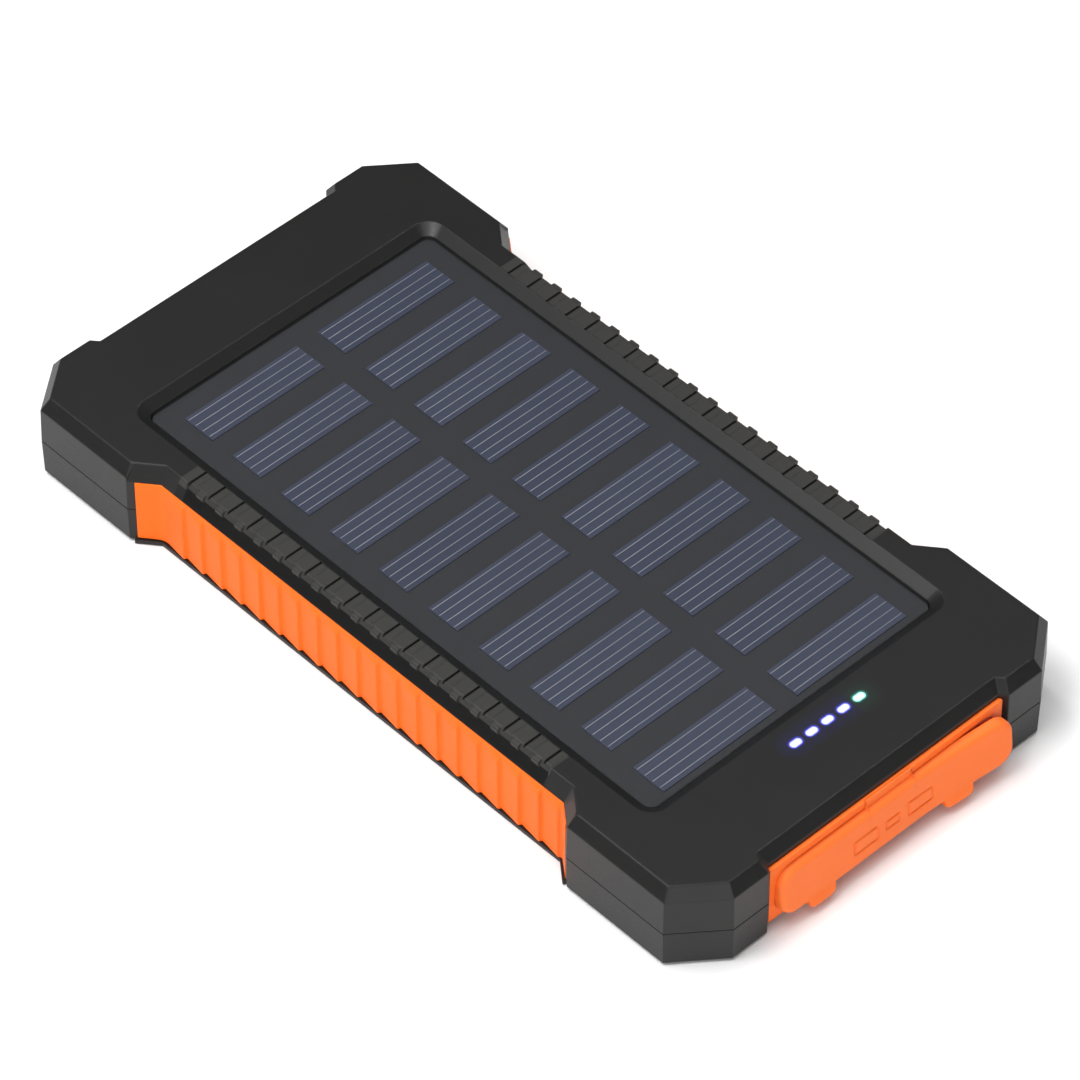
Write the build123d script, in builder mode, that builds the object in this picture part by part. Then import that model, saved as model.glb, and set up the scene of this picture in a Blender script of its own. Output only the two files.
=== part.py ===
from build123d import *
import os

os.makedirs("parts", exist_ok=True)

# Solar phone charger. +X runs to the port end, +Z up, origin at the centre of the base. Millimetres.
LENGTH = 142.0  # across the end bumpers
WIDTH = 76.0  # across the side bumpers
HEIGHT = 15.0
SPLIT_Z = 6.8  # parting line between the two shells
BEVEL_Z = 13.05  # lower edge of the bevel round the top face

# Plan of the case: four corner bumpers stand out, with the sides and ends set back between them.
CORNER_X = 6.0
CORNER_Y = 7.6
SIDE_HALF = 45.9  # half-length of the set-back side, at its mouth
SIDE_DEPTH = 3.2
SIDE_RUN = 4.0  # length of the slanted stretch at each end of the set-back side
END_HALF = 23.6
END_DEPTH = 1.2
END_RUN = 1.0
DRAFT = 0.15
BEVEL_INSET = 1.4

# Solar panel and its recess in the top face.
PANEL_X = -0.3
PANEL_LENGTH = 104.6
PANEL_WIDTH = 55.6
PANEL_TOP_Z = 13.8
LEDGE_Z = 12.0
DECK_Z = 11.0  # underside of the plate that carries the panel
CELL_COUNT = 10
CELL_PITCH = 10.38
CELL_SIZE_X = 6.1
CELL_SIZE_Y = 21.85
CELL_ROW_Y = 13.0
CELL_X = 0.85

# Side grips.
GRIP_Y = 34.8
GRIP_THICK = 1.8
GRIP_LOW_Z = 0.8
GRIP_TOP_Z = 12.35
RIB_PITCH = 4.14
RIB_COUNT = 19
RIB_ROW_X = -1.5  # middle of the row of ribs
RIB_PROUD = 0.45

# Port end.
BEZEL_HALF = 22.9
BEZEL_LOW_Z = 1.6
BEZEL_TOP_Z = 12.3
BEZEL_BACK_X = 66.4
BEZEL_FACE_X = 70.35
FLAP_HALF = 21.6
FLAP_LOW_Z = 2.6
FLAP_TOP_Z = 10.8
FLAP_BACK_X = 69.85
FLAP_FACE_X = 71.5
HINGE_X = 70.4
HINGE_Z = 11.85
HINGE_HALF = 4.3
BOARD_TOP_Z = 3.8
USB_Y = 12.5
USB_FACE_X = 68.9

# Indicator lights, power button and case screws.
LIGHT_X = 57.75
LIGHT_Y = 0.8
LIGHT_PITCH = 3.12
LIGHT_COUNT = 5
BUTTON_X = 54.8
BUTTON_Z = 6.0
BUTTON_LONG = 8.4
BUTTON_TALL = 3.6
BUTTON_GAP = 0.1
GUIDE_X = 58.0  # middle of the light guide's pocket
LEAD_X = 39.5  # where the panel's leads come down
SCREW_X = 61.5
SCREW_Y = 30.2

half_x = LENGTH / 2
half_y = WIDTH / 2
end_y = END_HALF - END_RUN
quarter = [
    (half_x - END_DEPTH, end_y),
    (half_x, END_HALF),
    (half_x, half_y - CORNER_Y),
    (half_x - CORNER_X, half_y),
    (SIDE_HALF, half_y),
    (SIDE_HALF - SIDE_RUN, half_y - SIDE_DEPTH),
]
half_outline = quarter + [(-x, y) for x, y in reversed(quarter)]
case_outline = half_outline + [(x, -y) for x, y in reversed(half_outline)]

cavity_quarter = [(66.4, 27.5), (61.6, 34.6), (50.0, 34.6), (46.0, 31.4)]
half_cavity = cavity_quarter + [(-x, y) for x, y in reversed(cavity_quarter)]
cavity_outline = half_cavity + [(x, -y) for x, y in reversed(half_cavity)]

# Plan of a side grip: a band that lines the set-back side and climbs its slanted ends.
grip_inner = [(42.54, GRIP_Y - GRIP_THICK), (46.03, 35.79)]
grip_outer = [(44.9, 37.2), (SIDE_HALF - SIDE_RUN, GRIP_Y)]
grip_reach = [(43.65, 38.76)]


def both_ends(points):
    """The points, then their mirror images about X = 0 in reverse order."""
    return points + [(-x, y) for x, y in reversed(points)]


grip_outline = both_ends(grip_inner + grip_outer)
grip_pocket = both_ends(grip_inner + grip_reach)
screw_places = GridLocations(2 * SCREW_X, 2 * SCREW_Y, 2, 2)
light_places = [(LIGHT_X, LIGHT_Y + (i - 2) * LIGHT_PITCH) for i in range(LIGHT_COUNT)]
cell_places = [
    (CELL_X + (i - (CELL_COUNT - 1) / 2) * CELL_PITCH, side * CELL_ROW_Y)
    for side in (-1, 1)
    for i in range(CELL_COUNT)
]


def save(builder, name):
    """Labels a finished sub-part and writes its STEP file."""
    builder.part.label = name
    export_step(builder.part, f"parts/{name}.step")


# Front housing: black moulding with the panel recess, the grip pockets and four screw posts.
GROOVE_PITCH = 4.1
GROOVE_COUNT = 19
GROOVE_ROW_X = -0.55  # middle of the groove rows
TONGUE_WIDTH = 1.45
TONGUE_DROP = 0.12
GROOVE_WIDTH = 0.3
GROOVE_DEEP = 0.55
PAD_INNER_Y = 29.8
PAD_OUTER_Y = 32.75
TONGUE_OUTER_Y = 33.65
SLOPE_LOW_Z = 12.4  # lower edge of the bevel along the set-back sides
PARTING_GROOVE = 0.12
POST_RADIUS = 2.6
SCREW_HOLE = 0.9
LIGHT_POCKET_Z = 13.4
groove_span = (GROOVE_COUNT - 1) * GROOVE_PITCH
seal_low_z = SPLIT_Z - 0.5
seal_high_z = SPLIT_Z + 0.5

# Tools for the long edges: the tongues to add, and the slope cut along the sides between the bumpers.
with BuildPart() as tongues:
    for side in (-1, 1):
        with BuildSketch(Plane.YZ.offset(GROOVE_ROW_X - groove_span / 2)):
            Polygon(
                (side * (PAD_OUTER_Y - 0.9), HEIGHT - TONGUE_DROP),
                (side * (TONGUE_OUTER_Y - 0.3), HEIGHT - TONGUE_DROP),
                (side * TONGUE_OUTER_Y, HEIGHT - 0.4),
                (side * TONGUE_OUTER_Y, HEIGHT - 0.8),
                (side * (TONGUE_OUTER_Y - 0.3), HEIGHT - 1.5),
                (side * (PAD_OUTER_Y - 0.9), HEIGHT - 1.5),
                align=None,
            )
        extrude(amount=groove_span + TONGUE_WIDTH)
    with BuildSketch(Plane.XY.offset(HEIGHT - 2)):
        with Locations((GROOVE_ROW_X + (GROOVE_PITCH + TONGUE_WIDTH) / 2, 0)):
            with GridLocations(GROOVE_PITCH, 1, GROOVE_COUNT + 1, 1):
                Rectangle(GROOVE_PITCH - TONGUE_WIDTH, WIDTH)
    extrude(amount=3, mode=Mode.SUBTRACT)

with BuildPart() as side_slopes:
    with BuildSketch(Plane.XY.offset(SLOPE_LOW_Z)):
        Rectangle(2 * SIDE_HALF, WIDTH + 2)
        Rectangle(2 * SIDE_HALF, 2 * PAD_INNER_Y, mode=Mode.SUBTRACT)
    extrude(amount=HEIGHT + 0.2 - SLOPE_LOW_Z)
    with BuildSketch(Plane.XY.offset(SLOPE_LOW_Z)):
        Polygon(*case_outline, align=None)
        offset(amount=-DRAFT, kind=Kind.INTERSECTION)
    with BuildSketch(Plane.XY.offset(HEIGHT + 0.2)):
        Polygon(*case_outline, align=None)
        offset(amount=-DRAFT - BEVEL_INSET - 0.1, kind=Kind.INTERSECTION)
    loft(ruled=True, mode=Mode.SUBTRACT)
    for side in (-1, 1):
        with BuildSketch(Plane.YZ.offset(GROOVE_ROW_X - groove_span / 2)):
            Polygon(
                (side * (PAD_OUTER_Y - 0.15), HEIGHT + 0.2),
                (side * (GRIP_Y + 0.2), HEIGHT + 0.2),
                (side * (GRIP_Y + 0.2), SLOPE_LOW_Z),
                (side * (GRIP_Y - DRAFT), SLOPE_LOW_Z),
                align=None,
            )
        extrude(amount=groove_span + TONGUE_WIDTH)

with BuildPart() as seal_ring:
    with BuildSketch(Plane.XY.offset(seal_low_z)):
        Polygon(*cavity_outline, align=None)
        offset(amount=1.15, kind=Kind.INTERSECTION)
    extrude(amount=seal_high_z - seal_low_z)
    with BuildSketch(Plane.XY.offset(seal_low_z)):
        Polygon(*cavity_outline, align=None)
        offset(amount=0.4, kind=Kind.INTERSECTION)
    extrude(amount=seal_high_z - seal_low_z, mode=Mode.SUBTRACT)
    # The seal stops short of the port opening and of the button.
    with BuildSketch(Plane.XY.offset(seal_low_z)):
        with Locations((BEZEL_BACK_X, 0)):
            Rectangle(8, 2 * BEZEL_HALF + 1.0)
        with Locations((BUTTON_X, half_y - 2)):
            Rectangle(BUTTON_LONG + 3, 6)
    extrude(amount=seal_high_z - seal_low_z, mode=Mode.SUBTRACT)
save(seal_ring, "case_seal")

with BuildPart() as front_housing:
    with BuildSketch(Plane.XY.offset(SPLIT_Z)):
        Polygon(*case_outline, align=None)
        offset(amount=-PARTING_GROOVE, kind=Kind.INTERSECTION)
    with BuildSketch(Plane.XY.offset(SPLIT_Z + PARTING_GROOVE)):
        Polygon(*case_outline, align=None)
    with BuildSketch(Plane.XY.offset(BEVEL_Z)):
        Polygon(*case_outline, align=None)
        offset(amount=-DRAFT, kind=Kind.INTERSECTION)
    with BuildSketch(Plane.XY.offset(HEIGHT)):
        Polygon(*case_outline, align=None)
        offset(amount=-DRAFT - BEVEL_INSET, kind=Kind.INTERSECTION)
    loft(ruled=True)
    rims = front_housing.edges().filter_by_position(Axis.Z, BEVEL_Z - 0.1, HEIGHT + 0.1)
    fillet(rims.filter_by(lambda e: e.length > 0.9), 0.35)
    add(side_slopes.part, mode=Mode.SUBTRACT)
    with BuildSketch(Plane.XY.offset(SPLIT_Z)):
        Polygon(*cavity_outline, align=None)
    extrude(amount=DECK_Z - SPLIT_Z, mode=Mode.SUBTRACT)
    with BuildSketch(Plane.XY.offset(LEDGE_Z)):
        with Locations((PANEL_X, 0)):
            RectangleRounded(PANEL_LENGTH + 0.3, PANEL_WIDTH + 0.3, 1.6)
    extrude(amount=HEIGHT - LEDGE_Z, mode=Mode.SUBTRACT)
    with BuildSketch(Plane.XY.offset(PANEL_TOP_Z)):
        with Locations((PANEL_X, 0)):
            RectangleRounded(PANEL_LENGTH + 0.4, PANEL_WIDTH + 0.4, 1.7)
    with BuildSketch(Plane.XY.offset(HEIGHT)):
        with Locations((PANEL_X, 0)):
            RectangleRounded(PANEL_LENGTH + 3.9, PANEL_WIDTH + 3.9, 3.0)
    loft(ruled=True, mode=Mode.SUBTRACT)
    # Side grip pockets, port opening, light windows, lead window and button hole.
    with BuildSketch(Plane.XY.offset(SPLIT_Z)):
        for side in (-1, 1):
            Polygon(*[(x, side * y) for x, y in grip_pocket], align=None)
    extrude(amount=GRIP_TOP_Z - SPLIT_Z, mode=Mode.SUBTRACT)
    with BuildSketch(Plane.XY.offset(SPLIT_Z)):
        with Locations((BEZEL_BACK_X, 0)):
            Rectangle(10, 2 * BEZEL_HALF, align=(Align.MIN, Align.CENTER))
    extrude(amount=BEZEL_TOP_Z - SPLIT_Z, mode=Mode.SUBTRACT)
    with BuildSketch(Plane.XY.offset(DECK_Z)):
        with Locations((GUIDE_X, LIGHT_Y)):
            Rectangle(5.6, 17.6)
    extrude(amount=LIGHT_POCKET_Z - DECK_Z, mode=Mode.SUBTRACT)
    with BuildSketch(Plane.XY.offset(DECK_Z)):
        with Locations((LEAD_X, 0)):
            Rectangle(5, 9)
        with Locations(*light_places):
            SlotOverall(2.2, 1.4, rotation=90)
    extrude(amount=HEIGHT - DECK_Z, mode=Mode.SUBTRACT)
    with BuildSketch(Plane.XZ.offset(-half_y - 1)):
        with Locations((BUTTON_X, BUTTON_Z)):
            RectangleRounded(BUTTON_LONG + 2 * BUTTON_GAP, BUTTON_TALL + 2 * BUTTON_GAP, 1.2)
    extrude(amount=7, mode=Mode.SUBTRACT)
    with BuildSketch(Plane.XY.offset(SPLIT_Z)):
        with screw_places:
            Circle(POST_RADIUS)
            Circle(SCREW_HOLE, mode=Mode.SUBTRACT)
    extrude(amount=4.0)
    with BuildSketch(Plane.XY.offset(SPLIT_Z + 4.0)):
        with screw_places:
            Circle(POST_RADIUS)
    extrude(amount=DECK_Z - SPLIT_Z - 3.8)
    add(seal_ring.part, mode=Mode.SUBTRACT)
    # Both long edges carry pads with a lower tongue between them and a groove beside each tongue.
    with BuildSketch(Plane.XY.offset(HEIGHT)):
        for side in (-1, 1):
            with Locations((GROOVE_ROW_X + TONGUE_WIDTH / 2, side * (PAD_INNER_Y + half_y) / 2)):
                with GridLocations(GROOVE_PITCH, 1, GROOVE_COUNT, 1):
                    Rectangle(TONGUE_WIDTH, half_y - PAD_INNER_Y)
    extrude(amount=-TONGUE_DROP, mode=Mode.SUBTRACT)
    add(tongues.part)
    with BuildSketch(Plane.XY.offset(HEIGHT)):
        for side in (-1, 1):
            with Locations((GROOVE_ROW_X, side * (PAD_INNER_Y + TONGUE_OUTER_Y) / 2)):
                with GridLocations(GROOVE_PITCH, 1, GROOVE_COUNT, 1):
                    Rectangle(GROOVE_WIDTH, TONGUE_OUTER_Y - PAD_INNER_Y)
    extrude(amount=-GROOVE_DEEP, mode=Mode.SUBTRACT)
save(front_housing, "front_housing")

# Bottom shell: black moulding, drafted to the base, with four sunk screw heads and board posts.
FLOOR_Z = 1.6
LIP_PROUD = 0.4
SCREW_HEAD_Z = 3.0
CAP_RADIUS = 2.9
CAP_THICK = 1.0
BOARD_Z = BOARD_TOP_Z - 1.2
board_posts = [(x, y) for x in (39.5, 63.5) for y in (-21.5, 21.5)]
with BuildPart() as bottom_shell:
    with BuildSketch(Plane.XY):
        Polygon(*case_outline, align=None)
        offset(amount=-0.7, kind=Kind.INTERSECTION)
    with BuildSketch(Plane.XY.offset(0.6)):
        Polygon(*case_outline, align=None)
        offset(amount=-DRAFT, kind=Kind.INTERSECTION)
    with BuildSketch(Plane.XY.offset(SPLIT_Z - PARTING_GROOVE)):
        Polygon(*case_outline, align=None)
    with BuildSketch(Plane.XY.offset(SPLIT_Z)):
        Polygon(*case_outline, align=None)
        offset(amount=-PARTING_GROOVE, kind=Kind.INTERSECTION)
    loft(ruled=True)
    # A lip under each side grip.
    with BuildSketch(Plane.XY.offset(0.15)):
        for side in (-1, 1):
            with BuildLine():
                Polyline(*[(x, side * y) for x, y in grip_outline], close=True)
            make_face()
        offset(amount=LIP_PROUD, kind=Kind.INTERSECTION)
    extrude(amount=GRIP_LOW_Z - 0.15)
    with BuildSketch(Plane.XY.offset(FLOOR_Z)):
        Polygon(*cavity_outline, align=None)
    extrude(amount=SPLIT_Z - FLOOR_Z, mode=Mode.SUBTRACT)
    with BuildSketch(Plane.XY.offset(GRIP_LOW_Z)):
        for side in (-1, 1):
            Polygon(*[(x, side * y) for x, y in grip_pocket], align=None)
    extrude(amount=SPLIT_Z - GRIP_LOW_Z, mode=Mode.SUBTRACT)
    with BuildSketch(Plane.XY.offset(BEZEL_LOW_Z)):
        with Locations((BEZEL_BACK_X, 0)):
            Rectangle(10, 2 * BEZEL_HALF, align=(Align.MIN, Align.CENTER))
    extrude(amount=SPLIT_Z - BEZEL_LOW_Z, mode=Mode.SUBTRACT)
    with BuildSketch(Plane.XZ.offset(-half_y - 1)):
        with Locations((BUTTON_X, BUTTON_Z)):
            RectangleRounded(BUTTON_LONG + 2 * BUTTON_GAP, BUTTON_TALL + 2 * BUTTON_GAP, 1.2)
    extrude(amount=7, mode=Mode.SUBTRACT)
    # Screw seats: a post to the parting line, a clearance hole, a head recess and a cap recess.
    with BuildSketch(Plane.XY.offset(FLOOR_Z - 0.2)):
        with screw_places:
            Circle(POST_RADIUS + 0.7)
    extrude(amount=SPLIT_Z - FLOOR_Z + 0.2)
    with BuildSketch(Plane.XY):
        with screw_places:
            Circle(1.15)
    extrude(amount=SPLIT_Z, mode=Mode.SUBTRACT)
    with BuildSketch(Plane.XY):
        with screw_places:
            Circle(2.2)
    extrude(amount=SCREW_HEAD_Z, mode=Mode.SUBTRACT)
    with BuildSketch(Plane.XY):
        with screw_places:
            Circle(CAP_RADIUS)
    extrude(amount=CAP_THICK, mode=Mode.SUBTRACT)
    with BuildSketch(Plane.XY.offset(FLOOR_Z)):
        with Locations(*board_posts):
            Circle(2.0)
    extrude(amount=BOARD_Z - FLOOR_Z)
    with BuildSketch(Plane.XY.offset(0.8)):
        with Locations(*board_posts):
            Circle(0.7)
    extrude(amount=BOARD_Z - 0.8, mode=Mode.SUBTRACT)
    # Two shallow sunk fields in the base, with a flat bar between them.
    with BuildSketch(Plane.XY):
        with Locations((-28, 0), (28, 0)):
            RectangleRounded(44, 46, 4)
    extrude(amount=0.3, mode=Mode.SUBTRACT)
    add(seal_ring.part, mode=Mode.SUBTRACT)
save(bottom_shell, "bottom_shell")

# Case screws: pan heads from below, threaded into the front housing's posts.
with BuildPart() as case_screws:
    with BuildSketch(Plane.XY.offset(SCREW_HEAD_Z - 1.3)):
        with screw_places:
            Circle(1.9)
    extrude(amount=1.3)
    with BuildSketch(Plane.XY.offset(SCREW_HEAD_Z)):
        with screw_places:
            Circle(SCREW_HOLE)
    extrude(amount=SPLIT_Z + 3.6 - SCREW_HEAD_Z)
    with BuildSketch(Plane.XY.offset(SCREW_HEAD_Z - 1.3)):
        with screw_places:
            Rectangle(2.2, 0.45)
            Rectangle(0.45, 2.2)
    extrude(amount=0.7, mode=Mode.SUBTRACT)
save(case_screws, "case_screws")

# Rubber caps over the screw heads.
with BuildPart() as screw_caps:
    with BuildSketch(Plane.XY.offset(0.05)):
        with screw_places:
            Circle(CAP_RADIUS - 0.05)
    extrude(amount=CAP_THICK - 0.05)
    chamfer(screw_caps.edges().group_by(Axis.Z)[0], 0.25)
save(screw_caps, "screw_caps")

# Side grips: ribbed rubber bands with a saw-tooth face, each tooth rising towards the port end.
for side, grip_name in ((-1, "right_grip"), (1, "left_grip")):
    with BuildPart() as grip:
        with BuildSketch(Plane.XY.offset(GRIP_LOW_Z)):
            Polygon(*[(x, side * y) for x, y in grip_outline], align=None)
        extrude(amount=GRIP_TOP_Z - GRIP_LOW_Z)
        with BuildSketch(Plane.XY.offset(GRIP_LOW_Z)):
            with Locations((RIB_ROW_X, side * GRIP_Y)):
                with GridLocations(RIB_PITCH, 1, RIB_COUNT, 1):
                    Polygon(
                        (-RIB_PITCH / 2, -side * 0.2),
                        (-RIB_PITCH / 2, 0),
                        (RIB_PITCH / 2 - 0.25, side * RIB_PROUD),
                        (RIB_PITCH / 2, 0),
                        (RIB_PITCH / 2, -side * 0.2),
                        align=None,
                    )
        extrude(amount=GRIP_TOP_Z - GRIP_LOW_Z - 1.1)
    save(grip, grip_name)

# Solar panel: a stiff backing board, two columns of cell strips and a clear resin cover.
BACKING_THICK = 1.0
CELL_THICK = 0.2
backing_z = LEDGE_Z + 0.2
cell_z = backing_z + BACKING_THICK
with BuildPart() as panel_tape:
    with BuildSketch(Plane.XY.offset(LEDGE_Z)):
        with Locations((PANEL_X, 0)):
            RectangleRounded(PANEL_LENGTH - 0.6, PANEL_WIDTH - 0.6, 1.2)
            Rectangle(PANEL_LENGTH - 8, PANEL_WIDTH - 8, mode=Mode.SUBTRACT)
    extrude(amount=backing_z - LEDGE_Z)
save(panel_tape, "panel_tape")

with BuildPart() as panel_backing:
    with BuildSketch(Plane.XY.offset(backing_z)):
        with Locations((PANEL_X, 0)):
            RectangleRounded(PANEL_LENGTH, PANEL_WIDTH, 1.5)
    extrude(amount=BACKING_THICK)
save(panel_backing, "panel_backing")

with BuildPart() as solar_cells:
    with BuildSketch(Plane.XY.offset(cell_z)):
        with Locations(*cell_places):
            Rectangle(CELL_SIZE_X, CELL_SIZE_Y)
    extrude(amount=CELL_THICK)
save(solar_cells, "solar_cells")

with BuildPart() as panel_cover:
    with BuildSketch(Plane.XY.offset(cell_z)):
        with Locations((PANEL_X, 0)):
            RectangleRounded(PANEL_LENGTH, PANEL_WIDTH, 1.5)
        with Locations(*cell_places):
            Rectangle(CELL_SIZE_X, CELL_SIZE_Y, mode=Mode.SUBTRACT)
    extrude(amount=CELL_THICK)
    with BuildSketch(Plane.XY.offset(cell_z + CELL_THICK)):
        with Locations((PANEL_X, 0)):
            RectangleRounded(PANEL_LENGTH, PANEL_WIDTH, 1.5)
    extrude(amount=PANEL_TOP_Z - cell_z - CELL_THICK)
save(panel_cover, "panel_cover")

# Indicator: a clear light guide with five windows, a black baffle, five lamps and their board.
guide_z = 12.6
with BuildPart() as light_guide:
    with BuildSketch(Plane.XY.offset(guide_z)):
        with Locations((GUIDE_X, LIGHT_Y)):
            Rectangle(5.2, 17.2)
    extrude(amount=LIGHT_POCKET_Z - guide_z)
    with BuildSketch(Plane.XY.offset(LIGHT_POCKET_Z)):
        with Locations(*light_places):
            SlotOverall(2.1, 1.3, rotation=90)
    extrude(amount=HEIGHT - LIGHT_POCKET_Z - 0.05)
save(light_guide, "light_guide")

with BuildPart() as light_baffle:
    with BuildSketch(Plane.XY.offset(DECK_Z)):
        with Locations((GUIDE_X, LIGHT_Y)):
            Rectangle(5.2, 17.2)
        with Locations(*light_places):
            Rectangle(2.6, 2.5, mode=Mode.SUBTRACT)
    extrude(amount=guide_z - DECK_Z)
save(light_baffle, "light_baffle")

with BuildPart() as indicator_lamps:
    with BuildSketch(Plane.XY.offset(DECK_Z)):
        with Locations(*light_places):
            Rectangle(1.25, 2.0)
    extrude(amount=0.7)
save(indicator_lamps, "indicator_lamps")

with BuildPart() as indicator_board:
    with BuildSketch(Plane.XY.offset(DECK_Z - 0.8)):
        with Locations((GUIDE_X, LIGHT_Y)):
            Rectangle(5.2, 17.2)
    extrude(amount=0.8)
save(indicator_board, "indicator_board")

# Port bezel: orange moulding round the sockets, with a seat for the flap and its hinge bead.
BEAD_RADIUS = 0.45
SOCKET_WIDTH = 13.1
SOCKET_TALL = 5.7
MICRO_WIDTH = 7.6
MICRO_TALL = 2.8
bezel_mid_z = (BEZEL_LOW_Z + BEZEL_TOP_Z) / 2
flap_mid_z = (FLAP_LOW_Z + FLAP_TOP_Z) / 2
socket_z = BOARD_TOP_Z + SOCKET_TALL / 2
micro_z = BOARD_TOP_Z + MICRO_TALL / 2
with BuildPart() as port_bezel:
    with BuildSketch(Plane.YZ.offset(BEZEL_BACK_X)):
        with Locations((0, bezel_mid_z)):
            Rectangle(2 * BEZEL_HALF, BEZEL_TOP_Z - BEZEL_LOW_Z)
    extrude(amount=BEZEL_FACE_X - BEZEL_BACK_X)
    with BuildSketch(Plane.YZ.offset(FLAP_BACK_X - 0.05)):
        with Locations((0, flap_mid_z)):
            RectangleRounded(2 * FLAP_HALF + 0.5, FLAP_TOP_Z - FLAP_LOW_Z + 0.5, 3.0)
    extrude(amount=1, mode=Mode.SUBTRACT)
    with BuildSketch(Plane.YZ.offset(HINGE_X - 0.3)):
        with Locations((0, FLAP_TOP_Z)):
            Rectangle(2 * HINGE_HALF + 0.4, 3.2)
    extrude(amount=1, mode=Mode.SUBTRACT)
    with BuildSketch(Plane.XZ.offset(-HINGE_HALF - 0.2)):
        with Locations((HINGE_X, HINGE_Z)):
            Circle(BEAD_RADIUS + 0.05)
    extrude(amount=2 * HINGE_HALF + 0.4, mode=Mode.SUBTRACT)
    with BuildSketch(Plane.YZ.offset(BEZEL_BACK_X)):
        with Locations((-USB_Y, socket_z), (USB_Y, socket_z)):
            Rectangle(SOCKET_WIDTH + 0.2, SOCKET_TALL + 0.2)
        with Locations((0, micro_z)):
            Rectangle(MICRO_WIDTH + 0.2, MICRO_TALL + 0.2)
    extrude(amount=5, mode=Mode.SUBTRACT)
save(port_bezel, "port_bezel")

# Port flap: orange rubber plate on a bead hinge, with three plugs inside and two finger tabs.
TAB_WIDTH = 4.9
TAB_LOW_Z = 1.3
TAB_FACE_X = 72.2
tab_places = (-14.4, 12.8)
with BuildPart() as port_flap:
    with BuildSketch(Plane.YZ.offset(FLAP_BACK_X)):
        with Locations((0, flap_mid_z)):
            RectangleRounded(2 * FLAP_HALF, FLAP_TOP_Z - FLAP_LOW_Z, 2.8)
    extrude(amount=FLAP_FACE_X - FLAP_BACK_X)
    fillet(port_flap.edges().group_by(Axis.X)[-1], 0.5)
    with BuildSketch(Plane.YZ.offset(TAB_FACE_X - 1.2)):
        for y in tab_places:
            with Locations((y, TAB_LOW_Z + 2.4)):
                RectangleRounded(TAB_WIDTH, 4.8, 1.6)
    extrude(amount=1.2)
    with BuildSketch(Plane.XZ.offset(-HINGE_HALF)):
        with Locations((HINGE_X, HINGE_Z)):
            Circle(BEAD_RADIUS)
        with Locations((HINGE_X - 0.2, FLAP_TOP_Z - 0.6)):
            Rectangle(0.8, HINGE_Z - FLAP_TOP_Z + 0.6, align=(Align.MIN, Align.MIN))
    extrude(amount=2 * HINGE_HALF)
    with BuildSketch(Plane.YZ.offset(USB_FACE_X + 0.15)):
        with Locations((-USB_Y, socket_z), (USB_Y, socket_z)):
            RectangleRounded(SOCKET_WIDTH - 0.8, SOCKET_TALL - 0.6, 0.8)
        with Locations((0, micro_z)):
            RectangleRounded(MICRO_WIDTH - 0.6, MICRO_TALL - 0.4, 0.6)
    extrude(amount=FLAP_BACK_X - USB_FACE_X - 0.15)
save(port_flap, "port_flap")

# USB output sockets: folded steel shells with a contact tongue.
SHEET = 0.3
SOCKET_LONG = 14.0
for name, y in (("usb_shell_1", -USB_Y), ("usb_shell_2", USB_Y)):
    with BuildPart() as usb_shell:
        with BuildSketch(Plane.YZ.offset(USB_FACE_X - SOCKET_LONG)):
            with Locations((y, socket_z)):
                RectangleRounded(SOCKET_WIDTH, SOCKET_TALL, 0.4)
        extrude(amount=SOCKET_LONG)
        with BuildSketch(Plane.YZ.offset(USB_FACE_X - SOCKET_LONG + 0.5)):
            with Locations((y, socket_z)):
                Rectangle(SOCKET_WIDTH - 2 * SHEET, SOCKET_TALL - 2 * SHEET)
        extrude(amount=SOCKET_LONG, mode=Mode.SUBTRACT)
    save(usb_shell, name)
for name, y in (("usb_tongue_1", -USB_Y), ("usb_tongue_2", USB_Y)):
    with BuildPart() as usb_tongue:
        with BuildSketch(Plane.YZ.offset(USB_FACE_X - SOCKET_LONG + 0.5)):
            with Locations((y, socket_z)):
                Rectangle(SOCKET_WIDTH - 2 * SHEET, SOCKET_TALL - 2 * SHEET)
        extrude(amount=4.0)
        with BuildSketch(Plane.YZ.offset(USB_FACE_X - SOCKET_LONG + 4.5)):
            with Locations((y, socket_z + SOCKET_TALL / 2 - SHEET - 0.5)):
                Rectangle(11.1, 1.8, align=(Align.CENTER, Align.MAX))
        extrude(amount=8.2)
    save(usb_tongue, name)

# Input socket: a small steel shell with its own tongue.
with BuildPart() as micro_usb_socket:
    with BuildSketch(Plane.YZ.offset(USB_FACE_X - 5.6)):
        with Locations((0, micro_z)):
            RectangleRounded(MICRO_WIDTH, MICRO_TALL, 0.5)
    extrude(amount=5.6)
    with BuildSketch(Plane.YZ.offset(USB_FACE_X - 4.8)):
        with Locations((0, micro_z)):
            RectangleRounded(MICRO_WIDTH - 0.6, MICRO_TALL - 0.6, 0.4)
    extrude(amount=5, mode=Mode.SUBTRACT)
    with BuildSketch(Plane.YZ.offset(USB_FACE_X - 5.0)):
        with Locations((0, micro_z + 0.25)):
            Rectangle(3.6, 0.6)
    extrude(amount=3.6)
save(micro_usb_socket, "micro_usb_socket")

# Main board with its screws, power chip, coil, capacitors and chip parts.
board_x = 51.7
with BuildPart() as main_board:
    with BuildSketch(Plane.XY.offset(BOARD_Z)):
        with Locations((board_x, 0)):
            Rectangle(29.0, 52.8)
        with Locations(*board_posts):
            Circle(0.8, mode=Mode.SUBTRACT)
    extrude(amount=BOARD_TOP_Z - BOARD_Z)
save(main_board, "main_board")

with BuildPart() as board_screws:
    with BuildSketch(Plane.XY.offset(BOARD_TOP_Z)):
        with Locations(*board_posts):
            Circle(1.4)
    extrude(amount=0.9)
    with BuildSketch(Plane.XY.offset(0.9)):
        with Locations(*board_posts):
            Circle(0.7)
    extrude(amount=BOARD_TOP_Z - 0.9)
save(board_screws, "board_screws")

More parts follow.
